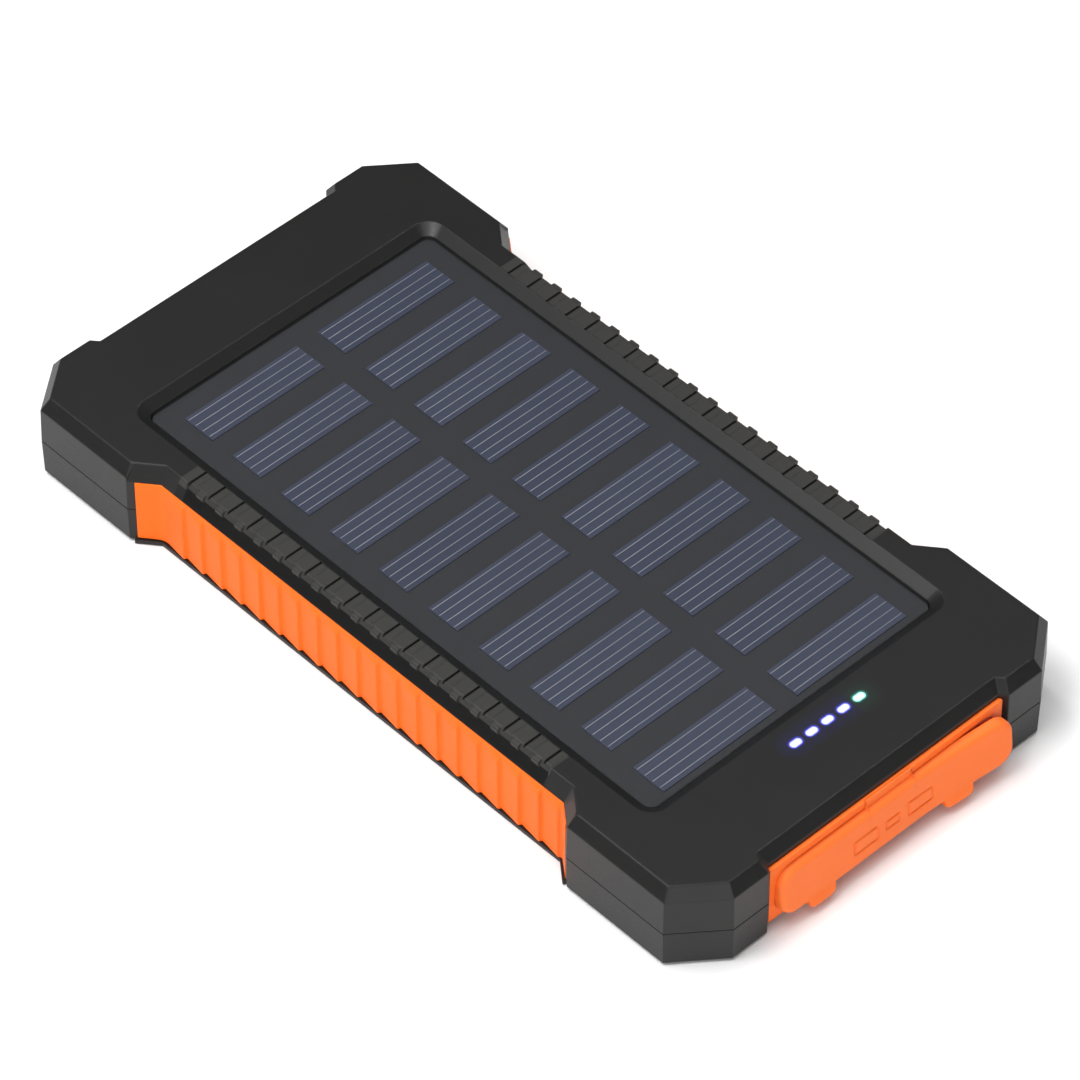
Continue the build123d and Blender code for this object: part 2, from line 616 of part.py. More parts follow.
with BuildPart() as power_chip:
    with BuildSketch(Plane.XY.offset(BOARD_TOP_Z)):
        with Locations((47.0, -1.0)):
            Rectangle(5.0, 5.0)
    extrude(amount=0.9)
save(power_chip, "power_chip")

with BuildPart() as boost_coil:
    with BuildSketch(Plane.XY.offset(BOARD_TOP_Z)):
        with Locations((47.0, 12.5)):
            RectangleRounded(7.0, 7.0, 1.2)
    extrude(amount=3.0)
save(boost_coil, "boost_coil")

with BuildPart() as capacitors:
    with BuildSketch(Plane.XY.offset(BOARD_TOP_Z)):
        with Locations((45.0, -9.0), (45.0, -15.0), (50.5, -24.0)):
            Circle(2.0)
    extrude(amount=5.0)
save(capacitors, "capacitors")

with BuildPart() as chip_parts:
    with BuildSketch(Plane.XY.offset(BOARD_TOP_Z)):
        with Locations((51.5, 3.5)):
            with GridLocations(2.0, 2.6, 2, 3):
                Rectangle(0.8, 1.6)
    extrude(amount=0.6)
save(chip_parts, "chip_parts")

# Power button: its cap, flange and stem in one moulding, pressing a side switch on the board.
SWITCH_FACE_Y = 26.3
PLUNGER_TIP_Y = 27.3
with BuildPart() as power_button:
    with BuildSketch(Plane.XZ.offset(-35.0)):
        with Locations((BUTTON_X, BUTTON_Z)):
            RectangleRounded(BUTTON_LONG, BUTTON_TALL, 1.1)
    extrude(amount=-3.3)
    fillet(power_button.edges().group_by(Axis.Y)[-1], 0.4)
    with BuildSketch(Plane.XZ.offset(-33.5)):
        with Locations((BUTTON_X, BUTTON_Z)):
            Rectangle(BUTTON_LONG + 0.7, BUTTON_TALL + 1.2)
    extrude(amount=-1.0)
    with BuildSketch(Plane.XZ.offset(-34.5)):
        with Locations((BUTTON_X, BUTTON_Z)):
            RectangleRounded(BUTTON_LONG, BUTTON_TALL, 1.1)
    extrude(amount=-0.5)
    with BuildSketch(Plane.XZ.offset(-PLUNGER_TIP_Y)):
        with Locations((BUTTON_X, BUTTON_Z)):
            Rectangle(3.0, 2.4)
    extrude(amount=PLUNGER_TIP_Y - 33.5)
save(power_button, "power_button")

with BuildPart() as switch_plunger:
    with BuildSketch(Plane.XZ.offset(-SWITCH_FACE_Y + 1.0)):
        with Locations((BUTTON_X, BUTTON_Z)):
            Rectangle(2.4, 1.4)
    extrude(amount=SWITCH_FACE_Y - 1.0 - PLUNGER_TIP_Y)
save(switch_plunger, "switch_plunger")

with BuildPart() as switch_body:
    with BuildSketch(Plane.XZ.offset(-SWITCH_FACE_Y)):
        with Locations((BUTTON_X, BOARD_TOP_Z)):
            Rectangle(6.0, 3.6, align=(Align.CENTER, Align.MIN))
    extrude(amount=3.4)
    with BuildSketch(Plane.XZ.offset(-SWITCH_FACE_Y)):
        with Locations((BUTTON_X, BUTTON_Z)):
            Rectangle(2.52, 1.52)
    extrude(amount=1.6, mode=Mode.SUBTRACT)
save(switch_body, "switch_body")

# Battery: two stacked pouch cells held by foam pads, with tabs, a protection board and leads.
POUCH_LONG = 95.0
POUCH_WIDE = 52.8
POUCH_THICK = 4.0
pouch_x = -15.0
pouch_end = pouch_x + POUCH_LONG / 2
for name, z in (("battery_pouch_lower", 2.0), ("battery_pouch_upper", 6.3)):
    with BuildPart() as pouch:
        with BuildSketch(Plane.XY.offset(z)):
            with Locations((pouch_x, 0)):
                RectangleRounded(POUCH_LONG, POUCH_WIDE, 2.0)
        extrude(amount=POUCH_THICK)
        fillet(pouch.edges().group_by(Axis.Z)[-1], 0.8)
        fillet(pouch.edges().group_by(Axis.Z)[0], 0.8)
    save(pouch, name)
for name, z, top, shrink in (
    ("foam_pad_lower", FLOOR_Z, 2.0, 6),
    ("battery_tape", 6.0, 6.3, 10),
    ("foam_pad_upper", 10.3, DECK_Z, 6),
):
    with BuildPart() as pad:
        with BuildSketch(Plane.XY.offset(z)):
            with Locations((pouch_x, 0)):
                Rectangle(POUCH_LONG - shrink, POUCH_WIDE - shrink)
        extrude(amount=top - z)
    save(pad, name)

with BuildPart() as battery_tabs:
    for z in (4.0, 8.3):
        with BuildSketch(Plane.XY.offset(z - 0.1)):
            with Locations((pouch_end, -10), (pouch_end, 10)):
                Rectangle(2.6, 5.0, align=(Align.MIN, Align.CENTER))
        extrude(amount=0.2)
save(battery_tabs, "battery_tabs")

with BuildPart() as protection_board:
    with BuildSketch(Plane.XY.offset(2.4)):
        with Locations((pouch_end + 2.6, 0)):
            Rectangle(0.8, 34.0, align=(Align.MIN, Align.CENTER))
    extrude(amount=7.6)
save(protection_board, "protection_board")

lead_x = pouch_end + 3.4
for name, y in (("battery_lead_red", 5.0), ("battery_lead_black", -5.0)):
    with BuildPart() as lead:
        with BuildLine() as lead_path:
            lead_turn = (lead_x + 6.0, y, 8.0)
            FilletPolyline((lead_x, y, 8.0), lead_turn, (lead_x + 6.0, y, BOARD_TOP_Z), radius=2.5)
        with BuildSketch(Plane.YZ.offset(lead_x)):
            with Locations((y, 8.0)):
                Circle(0.6)
        sweep(path=lead_path.wires()[0])
    save(lead, name)
for name, y in (("panel_lead_red", 1.8), ("panel_lead_black", -1.8)):
    with BuildPart() as lead:
        with BuildSketch(Plane.XY.offset(BOARD_TOP_Z)):
            with Locations((LEAD_X, y)):
                Circle(0.5)
        extrude(amount=backing_z - BOARD_TOP_Z)
    save(lead, name)
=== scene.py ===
from math import cos, radians, sin

import bmesh
import bpy
import numpy as np
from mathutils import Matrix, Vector


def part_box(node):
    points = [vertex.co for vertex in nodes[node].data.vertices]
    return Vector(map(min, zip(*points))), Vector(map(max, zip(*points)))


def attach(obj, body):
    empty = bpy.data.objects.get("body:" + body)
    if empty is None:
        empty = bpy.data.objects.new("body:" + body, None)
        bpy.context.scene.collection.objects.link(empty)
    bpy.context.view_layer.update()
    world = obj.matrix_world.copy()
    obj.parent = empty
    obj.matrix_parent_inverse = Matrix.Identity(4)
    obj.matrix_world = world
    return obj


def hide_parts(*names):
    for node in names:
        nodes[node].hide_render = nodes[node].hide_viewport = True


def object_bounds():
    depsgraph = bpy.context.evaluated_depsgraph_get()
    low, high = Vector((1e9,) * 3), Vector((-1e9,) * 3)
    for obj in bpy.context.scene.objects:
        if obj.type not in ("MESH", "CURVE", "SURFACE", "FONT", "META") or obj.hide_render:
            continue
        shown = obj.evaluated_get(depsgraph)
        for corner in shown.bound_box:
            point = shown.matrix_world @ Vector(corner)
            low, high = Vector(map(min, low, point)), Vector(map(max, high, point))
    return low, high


# Solar phone charger, in metres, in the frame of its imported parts. +X points to the port end, +Y to the side
# with the power button, and +Z up from the base.
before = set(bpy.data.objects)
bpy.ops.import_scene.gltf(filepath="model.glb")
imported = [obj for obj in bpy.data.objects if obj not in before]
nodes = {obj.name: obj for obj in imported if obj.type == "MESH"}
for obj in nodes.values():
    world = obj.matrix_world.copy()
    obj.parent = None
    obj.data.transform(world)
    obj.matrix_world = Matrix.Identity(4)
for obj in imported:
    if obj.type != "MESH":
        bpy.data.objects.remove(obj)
cad_low, cad_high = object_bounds()
MM = 0.001


# Bottom shell: the lower half of the case, injection moulded in black ABS with a fine spark-eroded grain.
# It carries the battery and the boards, and four screws hold the front housing on it.
def shader(name):
    """A new material: returns it with its node tree, its Principled shader and the Object coordinates."""
    material = bpy.data.materials.new(name)
    material.use_nodes = True
    tree = material.node_tree
    place = tree.nodes.new("ShaderNodeTexCoord").outputs["Object"]
    return material, tree, tree.nodes["Principled BSDF"], place


def wire(tree, kind, sockets, **settings):
    """Adds a shader node. Each entry of sockets sets an input to a value, or links another output to it."""
    node = tree.nodes.new("ShaderNode" + kind)
    for key, value in settings.items():
        setattr(node, key, value)
    for key, value in sockets.items():
        if isinstance(value, bpy.types.NodeSocket):
            tree.links.new(value, node.inputs[key])
        else:
            node.inputs[key].default_value = value
    return node


def calc(tree, operation, first, second=0.0):
    """The output of one Math node."""
    return wire(tree, "Math", {0: first, 1: second}, operation=operation).outputs[0]


def between(tree, share, start, end):
    """A colour that goes from start to end as share goes from 0 to 1."""
    mix = wire(tree, "Mix", {0: share, 6: start, 7: end}, data_type="RGBA")
    return mix.outputs[2]


def moulded(
    name, colour, rough=(0.45, 0.6), grain=0.22 * MM, height=0.012 * MM, tone=0.2, edge=0.22 * MM, **fixed
):
    """Grained plastic or rubber. Fine noise raises the grain and varies the gloss, broad noise varies the
    colour by tone either way, and the edges are eased by a small radius. fixed holds constants for the
    shader's own inputs."""
    material, tree, surface, place = shader(name)
    clouds_per_metre = 90.0
    fine = wire(tree, "TexNoise", {"Vector": place, "Scale": 1 / grain, "Detail": 2.0}).outputs["Fac"]
    broad = wire(tree, "TexNoise", {"Vector": place, "Scale": clouds_per_metre, "Detail": 3.0}).outputs["Fac"]
    dark = [c * (1 - tone) for c in colour] + [1]
    light = [min(1, c * (1 + tone)) for c in colour] + [1]
    tree.links.new(between(tree, broad, dark, light), surface.inputs["Base Color"])
    gloss_range = {"Value": fine, 1: 0.3, 2: 0.7, 3: rough[0], 4: rough[1]}
    gloss = wire(tree, "MapRange", gloss_range).outputs[0]
    tree.links.new(gloss, surface.inputs["Roughness"])
    eased = wire(tree, "Bevel", {"Radius": edge}, samples=4).outputs[0]
    bump = wire(tree, "Bump", {"Strength": 0.6, "Distance": height, "Height": fine, "Normal": eased})
    tree.links.new(bump.outputs[0], surface.inputs["Normal"])
    for key, value in fixed.items():
        surface.inputs[key.replace("_", " ")].default_value = value
    return material


def give(material, *names):
    """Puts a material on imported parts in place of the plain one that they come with."""
    for name in names:
        for slot in nodes[name].material_slots:
            slot.material = material


CASE_BLACK = (0.011, 0.011, 0.0108)
CASE_SHINE = 0.3
shell_plastic = moulded(
    "shell_plastic", CASE_BLACK, rough=(0.34, 0.46), height=0.006 * MM, Specular_IOR_Level=CASE_SHINE
)
give(shell_plastic, "bottom_shell")


# Battery: two foil pouch cells between foam pads, with double-sided tape between them. Their nickel tabs are
# welded to a protection board, and two leads go from it to the main board. Two like them come from the panel.
def metal(name, colour, rough, streak, stretch):
    """Metal with fine streaks: noise varies colour and gloss. Its coordinates are multiplied by stretch, so a
    value under 1 draws the streaks out along that axis."""
    material, tree, surface, place = shader(name)
    drawn = wire(tree, "Mapping", {"Vector": place, "Scale": stretch}).outputs[0]
    lines = wire(tree, "TexNoise", {"Vector": drawn, "Scale": 1 / streak, "Detail": 4.0}).outputs["Fac"]
    dark = [c * 0.8 for c in colour] + [1]
    tree.links.new(between(tree, lines, dark, list(colour) + [1]), surface.inputs["Base Color"])
    gloss_range = {"Value": lines, 1: 0.3, 2: 0.7, 3: rough * 0.8, 4: rough * 1.3}
    gloss = wire(tree, "MapRange", gloss_range).outputs[0]
    tree.links.new(gloss, surface.inputs["Roughness"])
    bump = wire(tree, "Bump", {"Strength": 0.3, "Distance": 0.01 * MM, "Height": lines})
    tree.links.new(bump.outputs[0], surface.inputs["Normal"])
    surface.inputs["Metallic"].default_value = 1.0
    return material


pouch_foil = metal("pouch_foil", (0.72, 0.73, 0.75), 0.3, 1.5 * MM, (1, 1, 1))
give(pouch_foil, "battery_pouch_lower", "battery_pouch_upper")
nickel_strip = metal("nickel_strip", (0.7, 0.68, 0.63), 0.28, 0.4 * MM, (0.05, 1, 1))
give(nickel_strip, "battery_tabs")
black_foam = moulded("black_foam", (0.05, 0.05, 0.05), rough=(0.85, 0.95), grain=0.5 * MM, height=0.1 * MM)
give(black_foam, "foam_pad_lower", "foam_pad_upper")
white_tape = moulded(
    "white_tape", (0.75, 0.74, 0.7), rough=(0.6, 0.75), grain=0.4 * MM, height=0.02 * MM, tone=0.05
)
give(white_tape, "battery_tape")
wire_skin = {"rough": (0.35, 0.45), "grain": 0.6 * MM, "height": 0.004 * MM}
red_wire = moulded("red_wire", (0.5, 0.012, 0.012), **wire_skin)
black_wire = moulded("black_wire", (0.015, 0.015, 0.015), **wire_skin)
give(red_wire, "battery_lead_red", "panel_lead_red")
give(black_wire, "battery_lead_black", "panel_lead_black")


# Circuit boards: glass-fibre laminate with green solder mask over copper tracks. Chips, a coil and capacitors
# are soldered on the main one, and zinc-plated screws hold it and the case.
def solder_mask(name, mask, copper, pitch):
    """Circuit board: a brick pattern drawn as thin lines marks the raised tracks under the mask."""
    material, tree, surface, place = shader(name)
    brickwork = {
        "Vector": place,
        "Scale": 1 / pitch,
        "Mortar Size": 0.09,
        "Mortar Smooth": 0.3,
        "Row Height": 0.35,
    }
    clouds_per_metre = 300.0
    tracks = wire(tree, "TexBrick", brickwork).outputs["Fac"]
    cloud = wire(tree, "TexNoise", {"Vector": place, "Scale": clouds_per_metre}).outputs["Fac"]
    ground = between(tree, cloud, [c * 0.8 for c in mask] + [1], list(mask) + [1])
    tree.links.new(between(tree, tracks, ground, list(copper) + [1]), surface.inputs["Base Color"])
    bump = wire(tree, "Bump", {"Strength": 0.5, "Distance": 0.03 * MM, "Height": tracks})
    tree.links.new(bump.outputs[0], surface.inputs["Normal"])
    surface.inputs["Roughness"].default_value = 0.28
    return material


green_board = solder_mask("green_board", (0.012, 0.11, 0.04), (0.03, 0.22, 0.08), 3 * MM)
give(green_board, "main_board", "protection_board", "indicator_board")
chip_resin = moulded(
    "chip_resin", (0.02, 0.02, 0.022), rough=(0.5, 0.65), grain=0.12 * MM, height=0.006 * MM
)
give(chip_resin, "power_chip", "chip_parts", "switch_plunger")
ferrite = moulded("ferrite", (0.09, 0.09, 0.1), rough=(0.6, 0.75), grain=0.15 * MM, height=0.01 * MM)
give(ferrite, "boost_coil")
drawn_can = metal("drawn_can", (0.78, 0.78, 0.8), 0.25, 0.5 * MM, (1, 1, 0.06))
give(drawn_can, "capacitors")
zinc_screw = metal("zinc_screw", (0.62, 0.63, 0.66), 0.3, 0.3 * MM, (1, 1, 0.2))
give(zinc_screw, "case_screws", "board_screws")

# Sockets: folded shells of nickel-plated steel, soldered to the edge of the main board. The two wide ones
# each hold a moulded white tongue, and the body of the button's switch is the same steel.
socket_steel = metal("socket_steel", (0.66, 0.66, 0.67), 0.26, 0.35 * MM, (0.05, 1, 1))
give(socket_steel, "usb_shell_1", "usb_shell_2", "micro_usb_socket", "switch_body")
tongue_resin = moulded(
    "tongue_resin", (0.8, 0.8, 0.78), rough=(0.4, 0.5), grain=0.3 * MM, height=0.005 * MM, tone=0.04
)
give(tongue_resin, "usb_tongue_1", "usb_tongue_2")

# Power button: a small key moulded in black plastic. It slides in a hole in the case's wall and presses the
# switch on the main board.
button_plastic = moulded(
    "button_plastic", (0.022, 0.022, 0.022), rough=(0.35, 0.45), grain=0.18 * MM, edge=0.15 * MM
)
give(button_plastic, "power_button")

# Case seal, screw caps and light baffle: soft black rubber, moulded to shape. The seal lies between the two
# halves of the case, the caps are pressed in over the screw heads, and the baffle keeps the lamps' light apart.
seal_rubber = moulded(
    "seal_rubber", (0.018, 0.018, 0.018), rough=(0.7, 0.8), grain=0.3 * MM, height=0.01 * MM
)
give(seal_rubber, "case_seal", "screw_caps", "light_baffle")


# Indicator: a clear light guide moulded with five windows that stand in holes in the front housing. Five
# lamps on a small board light it from below, four of them blue and the one on the button's side green.
def window_glow(tree, place, near, far):
    """How strongly a point is lit, and whether by the green lamp. Each window has a short middle line along
    Y. The distance from the nearest line is the root of the summed squares of the offsets past it, and the
    strength falls smoothly from 1 at the distance near to 0 at the distance far."""
    low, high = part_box("indicator_lamps")
    lamps = 5
    lamp_long = 2.0 * MM
    window_x = (low.x + high.x) / 2
    first_y = low.y + lamp_long / 2
    pitch = (high.y - low.y - lamp_long) / (lamps - 1)
    line_half = 0.42 * MM
    axes = wire(tree, "SeparateXYZ", {0: place}).outputs
    along = calc(tree, "DIVIDE", calc(tree, "SUBTRACT", axes["Y"], first_y), pitch)
    number = calc(tree, "MINIMUM", calc(tree, "MAXIMUM", calc(tree, "ROUND", along), 0.0), lamps - 1.0)
    off_y = calc(tree, "ABSOLUTE", calc(tree, "MULTIPLY", calc(tree, "SUBTRACT", along, number), pitch))
    off_y = calc(tree, "MAXIMUM", calc(tree, "SUBTRACT", off_y, line_half), 0.0)
    off_x = calc(tree, "SUBTRACT", axes["X"], window_x)
    squares = calc(tree, "ADD", calc(tree, "POWER", off_y, 2.0), calc(tree, "MULTIPLY", off_x, off_x))
    distance = calc(tree, "SQRT", squares)
    fall = {"Value": distance, 1: near, 2: far, 3: 1.0, 4: 0.0}
    ramp = wire(tree, "MapRange", fall, interpolation_type="SMOOTHERSTEP")
    return ramp.outputs[0], calc(tree, "GREATER_THAN", number, lamps - 1.5)


CORE_REACH = (0.28 * MM, 0.62 * MM)
BLUE_RIM = (0.04, 0.05, 0.95, 1)
GREEN_RIM = (0.01, 0.55, 0.4, 1)
BLUE_CORE = (0.8, 0.88, 1.0, 1)
GREEN_CORE = (0.62, 1.0, 0.93, 1)
lit_lens, tree, surface, place = shader("lit_lens")
in_core, is_green = window_glow(tree, place, *CORE_REACH)
rim = between(tree, is_green, BLUE_RIM, GREEN_RIM)
core = between(tree, is_green, BLUE_CORE, GREEN_CORE)
tree.links.new(between(tree, in_core, rim, core), surface.inputs["Emission Color"])
surface.inputs["Emission Strength"].default_value = 1.15
surface.inputs["Base Color"].default_value = (0.3, 0.32, 0.4, 1)
surface.inputs["Roughness"].default_value = 0.2
give(lit_lens, "light_guide")

LAMP_REACH = (0.2 * MM, 1.2 * MM)
BLUE_LAMP = (0.2, 0.3, 1.0, 1)
GREEN_LAMP = (0.1, 1.0, 0.6, 1)
LAMP_EDGE = (0.5, 0.45, 0.1, 1)
lamp_resin, tree, surface, place = shader("lamp_resin")
lit, is_green = window_glow(tree, place, *LAMP_REACH)
glow = between(tree, is_green, BLUE_LAMP, GREEN_LAMP)
tree.links.new(between(tree, lit, LAMP_EDGE, glow), surface.inputs["Emission Color"])
surface.inputs["Emission Strength"].default_value = 1.0
give(lamp_resin, "indicator_lamps")

# Front housing: the upper half of the case, moulded in the same black ABS, with a recess for the panel. The
# pads along both long edges are painted lighter than the rest, a painted sheen for the light their faces catch,
# and the slopes outside them are painted a deeper black, as painted shade. The light of the windows bleeds a
# little into the plastic round them.
housing_plastic = moulded(
    "housing_plastic",
    CASE_BLACK,
    rough=(0.3, 0.44),
    height=0.01 * MM,
    edge=0.3 * MM,
    Specular_IOR_Level=CASE_SHINE,
)
tree = housing_plastic.node_tree
surface = tree.nodes["Principled BSDF"]
place = tree.nodes["Texture Coordinate"].outputs["Object"]

# Where the painted sheen of the pads and the painted shade of the slopes outside them lie.
PAD_ROW_X = -0.55 * MM
PAD_ROW_HALF = 38.6 * MM
PAD_EDGE_Y = 29.9 * MM
SLOPE_EDGE_Y = 32.55 * MM
PAD_FOOT_Z = cad_high.z - 0.9 * MM
# Painted sheen: the pads are drawn lighter than the plastic, for the light their faces catch.
PAD_PAINTED_SHEEN = (0.034, 0.0335, 0.032, 1)
# Painted shade: the slopes outside the pads are drawn darker, for the shade that falls on them.
SLOPE_PAINTED_SHADE = (0.004, 0.004, 0.004, 1)
axes = wire(tree, "SeparateXYZ", {0: place}).outputs
from_middle = calc(tree, "ABSOLUTE", calc(tree, "SUBTRACT", axes["X"], PAD_ROW_X))
off_axis = calc(tree, "ABSOLUTE", axes["Y"])
in_row = calc(tree, "LESS_THAN", from_middle, PAD_ROW_HALF)
in_row = calc(tree, "MULTIPLY", in_row, calc(tree, "GREATER_THAN", off_axis, PAD_EDGE_Y))
above = calc(tree, "GREATER_THAN", axes["Z"], PAD_FOOT_Z)
outside = calc(tree, "GREATER_THAN", off_axis, SLOPE_EDGE_Y)
pad_sheen_mask = calc(tree, "MULTIPLY", in_row, above)
beneath = calc(tree, "SUBTRACT", 1.0, above)
slope_shade_mask = calc(tree, "MULTIPLY", in_row, calc(tree, "MULTIPLY", outside, beneath))
# The base colour takes the painted sheen on the pads and the painted shade on the slopes.
plain = surface.inputs["Base Color"].links[0].from_socket
with_pad_sheen = between(tree, pad_sheen_mask, plain, PAD_PAINTED_SHEEN)
tree.links.new(between(tree, slope_shade_mask, with_pad_sheen, SLOPE_PAINTED_SHADE), surface.inputs["Base Color"])

HALO_REACH = (0.5 * MM, 1.1 * MM)
HALO_SHARE = 0.5
HAZE_REACH = (0.6 * MM, 3.6 * MM)
HAZE_SHARE = 0.03
BLUE_BLEED = (0.09, 0.08, 1.0, 1)
GREEN_BLEED = (0.02, 0.45, 0.3, 1)
halo, is_green = window_glow(tree, place, *HALO_REACH)
haze = window_glow(tree, place, *HAZE_REACH)[0]
halo_level = calc(tree, "MULTIPLY", halo, HALO_SHARE)
haze_level = calc(tree, "MULTIPLY", haze, HAZE_SHARE)
tree.links.new(calc(tree, "ADD", halo_level, haze_level), surface.inputs["Emission Strength"])
glow = between(tree, is_green, BLUE_BLEED, GREEN_BLEED)
tree.links.new(glow, surface.inputs["Emission Color"])
give(housing_plastic, "front_housing")


# Solar panel: a black laminate board stuck down with tape, 20 blue-grey silicon strips with four silver
# fingers printed on each, and a thin satin resin cover poured over the whole.
def surface_mesh(name, points, material, body, crease=40):
    """A piece from a grid of points, rows by columns. Each row closes on itself, and one face caps each end
    row."""
    rows, columns = points.shape[:2]
    index = np.arange(rows * columns).reshape(rows, columns)
    wrapped = np.hstack([index, index[:, :1]])
    corners = (wrapped[:-1, :-1], wrapped[:-1, 1:], wrapped[1:, 1:], wrapped[1:, :-1])
    faces = np.stack(corners, axis=-1).reshape(-1, 4).tolist()
    faces += [index[0][::-1].tolist(), index[-1].tolist()]
    return closed_piece(name, points.reshape(-1, 3), faces, material, body, crease)


def closed_piece(name, vertices, faces, material, body, crease=40):
    """A piece from its corner points and faces, riding on a body. Its faces are turned outwards, and edges
    sharper than crease degrees stay sharp."""
    mesh = bpy.data.meshes.new(name)
    mesh.from_pydata(vertices, [], faces)
    work = bmesh.new()
    work.from_mesh(mesh)
    bmesh.ops.recalc_face_normals(work, faces=work.faces)
    if work.calc_volume(signed=True) < 0:
        bmesh.ops.reverse_faces(work, faces=work.faces)
    work.to_mesh(mesh)
    work.free()
    mesh.polygons.foreach_set("use_smooth", np.ones(len(mesh.polygons), bool))
    mesh.set_sharp_from_angle(angle=radians(crease))
    mesh.materials.append(material)
    piece = bpy.data.objects.new(name, mesh)
    bpy.context.scene.collection.objects.link(piece)
    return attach(piece, body)


def bars(name, centres, size, material, body):
    """Many flat bars in one piece. Each is a box of the given size about its centre, with three rings of four
    corners, and the top ring is drawn in a little."""
    plan = ((-1, -1), (1, -1), (1, 1), (-1, 1))
    shoulder = 0.4
    unit = np.array([(x, y, z) for z in (-1, shoulder, 1) for x, y in plan], float)
    half = np.array(size) / 2
    shape = unit * half
    drawn_in = 0.35 * half[:2].min()
    shape[8:, :2] -= np.sign(unit[8:, :2]) * drawn_in
    vertices = (centres[:, None, :] + shape[None]).reshape(-1, 3)
    around = np.arange(4)
    after = (around + 1) % 4
    sides = [np.stack([around + k, after + k, after + k + 4, around + k + 4], -1) for k in (0, 4)]
    underside = [[3, 2, 1, 0]]
    upper_side = [[8, 9, 10, 11]]
    faces = np.vstack(sides + [underside, upper_side])
    faces = (faces[None] + 12 * np.arange(len(centres))[:, None, None]).reshape(-1, 4)
    return closed_piece(name, vertices, faces.tolist(), material, body)


give(white_tape, "panel_tape")
backing_resin = moulded(
    "backing_resin",
    (0.0155, 0.0165, 0.0195),
    rough=(0.42, 0.5),
    grain=0.35 * MM,
    height=0.001 * MM,
    tone=0.06,
    Specular_IOR_Level=0.3,
)
give(backing_resin, "panel_backing")

STRIPS = 10
STRIP_WIDE = 6.1 * MM
STRIP_LONG = 21.85 * MM
SILICON_CLOUDS = 260.0
OWN_SHARE = 0.6
DEEP_BLUE = (0.02, 0.027, 0.055, 1)
PALE_BLUE = (0.034, 0.043, 0.078, 1)
silicon, tree, surface, place = shader("silicon")
axes = wire(tree, "SeparateXYZ", {0: place}).outputs
cells_low, cells_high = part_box("solar_cells")
strip_pitch = (cells_high.x - cells_low.x - STRIP_WIDE) / (STRIPS - 1)
from_end = calc(tree, "SUBTRACT", axes["X"], cells_low.x)
strip_number = calc(tree, "FLOOR", calc(tree, "DIVIDE", from_end, strip_pitch))
row_number = calc(tree, "GREATER_THAN", axes["Y"], 0.0)
pick = wire(tree, "CombineXYZ", {0: strip_number, 1: row_number})
own = wire(tree, "TexWhiteNoise", {"Vector": pick.outputs[0]}, noise_dimensions="3D").outputs["Value"]
cloud = wire(tree, "TexNoise", {"Vector": place, "Scale": SILICON_CLOUDS, "Detail": 3.0}).outputs["Fac"]
strip_tone = calc(tree, "MULTIPLY", own, OWN_SHARE)
cloud_tone = calc(tree, "MULTIPLY", cloud, 1 - OWN_SHARE)
blue = between(tree, calc(tree, "ADD", strip_tone, cloud_tone), DEEP_BLUE, PALE_BLUE)
tree.links.new(blue, surface.inputs["Base Color"])
surface.inputs["Roughness"].default_value = 0.35
surface.inputs["Coat Weight"].default_value = 0.1
give(silicon, "solar_cells")

finger_ink = metal("finger_ink", (0.26, 0.27, 0.3), 0.5, 0.3 * MM, (1, 0.2, 1))
finger_ink.node_tree.nodes["Principled BSDF"].inputs["Metallic"].default_value = 0.3
FINGERS = 4
FINGER_SPREAD = 0.375
FINGER_SHIFT = 0.1 * MM
FINGER_MARGIN = 0.15 * MM
FINGER_MIDDLE = 0.012 * MM
finger_size = (0.12 * MM, STRIP_LONG - 2 * FINGER_MARGIN, 0.03 * MM)
strip_x = cells_low.x + STRIP_WIDE / 2 + strip_pitch * np.arange(STRIPS)
finger_share = np.linspace(-FINGER_SPREAD, FINGER_SPREAD, FINGERS)
finger_x = (strip_x[:, None] - FINGER_SHIFT + finger_share * STRIP_WIDE).ravel()
row_y = np.array([cells_low.y + STRIP_LONG / 2, cells_high.y - STRIP_LONG / 2])
grid_x, grid_y = np.meshgrid(finger_x, row_y)
finger_z = np.full(grid_x.size, cells_high.z + FINGER_MIDDLE)
finger_centres = np.stack([grid_x.ravel(), grid_y.ravel(), finger_z], -1)
fingers = bars("cell_fingers", finger_centres, finger_size, finger_ink, "case")


def rounded_plate(low, high, radius, lip, z_low, steps=8):
    """Plan rings of a plate with rounded corners. Each ring is four quarter arcs, whose radius is the
    corner's less the ring's inset. The rings run up the side, round the upper lip in quarter-circle steps,
    and in towards the middle."""
    turn = np.linspace(0, np.pi / 2, steps)
    lip_turn = np.linspace(0, np.pi / 2, 5)
    inset = np.concatenate([[0], lip * (1 - np.cos(lip_turn)), [radius * 0.9]])
    level = np.concatenate([[z_low], high.z - lip * (1 - np.sin(lip_turn)), [high.z]])
    angle = np.concatenate([turn + quarter * np.pi / 2 for quarter in range(4)])
    centre_x = np.repeat([high.x - radius, low.x + radius, low.x + radius, high.x - radius], steps)
    centre_y = np.repeat([high.y - radius, high.y - radius, low.y + radius, low.y + radius], steps)
    reach = radius - inset[:, None]
    x = centre_x + reach * np.cos(angle)
    y = centre_y + reach * np.sin(angle)
    return np.stack([x, y, np.broadcast_to(level[:, None], x.shape)], -1)


cover_low, cover_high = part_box("panel_cover")
cover_resin = moulded(
    "cover_resin",
    (0.12, 0.12, 0.13),
    rough=(0.3, 0.38),
    grain=0.3 * MM,
    height=0.0002 * MM,
    tone=0.02,
    Alpha=0.05,
)
COVER_CORNER = 1.5 * MM
COVER_LIP = 0.15 * MM
COVER_FOOT_Z = cells_high.z + 0.06 * MM
cover_points = rounded_plate(cover_low, cover_high, COVER_CORNER, COVER_LIP, COVER_FOOT_Z)
cover = surface_mesh("clear_cover", cover_points, cover_resin, "case")
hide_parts("panel_cover")


